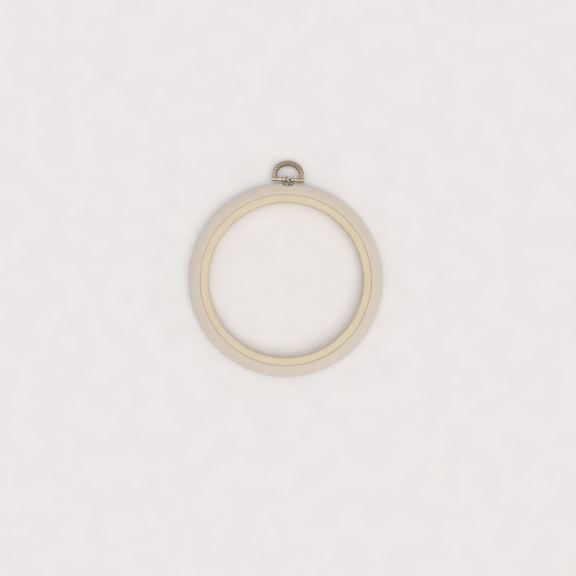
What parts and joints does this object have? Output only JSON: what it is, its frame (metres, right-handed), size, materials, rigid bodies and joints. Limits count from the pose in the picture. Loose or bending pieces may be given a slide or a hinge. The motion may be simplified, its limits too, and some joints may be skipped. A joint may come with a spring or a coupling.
{
  "type": "embroidery hoop",
  "caption": "Screwless embroidery hoop with a rigid inner ring, a soft outer ring pressed over it and a hinged rope-pattern hanging bail.",
  "frame": {"origin": "middle of the footprint, on the table that the hoop lies on", "axes": "+Z out of the front of the hoop, +Y towards the hanging bail, +X to the right seen from the front with the bail at the top"},
  "size_m": [0.1252, 0.1404, 0.009],
  "materials": {
    "inner_plastic": "smooth satin, moulded",
    "outer_vinyl": "soft satin, slightly waxy",
    "aged_brass": "aged, dark in the recesses, rubbed bright on the ridges",
    "nut_steel": "plain zinc plated"
  },
  "bodies": {
    "inner": {"inner_ring": "inner_plastic"},
    "outer": {"outer_ring": "outer_vinyl", "screw_eye": "aged_brass", "eye_collar": "aged_brass", "retaining_nut": "nut_steel"},
    "hanger": {"bail": "aged_brass", "hinge_pin": "aged_brass", "spacer_bead_left": "aged_brass", "spacer_bead_right": "aged_brass"}
  },
  "joints": [
    {"name": "ring_lift", "type": "slide", "parent": "inner", "child": "outer", "axis": [0, 0, 1], "range_m": [0, 0.015]},
    {"name": "bail_swing", "type": "hinge", "parent": "outer", "child": "hanger", "pos_m": [0, 0.05729, 0.0045], "axis": [0.9994, -0.0349, 0], "range_deg": [-108, 131]}
  ]
}
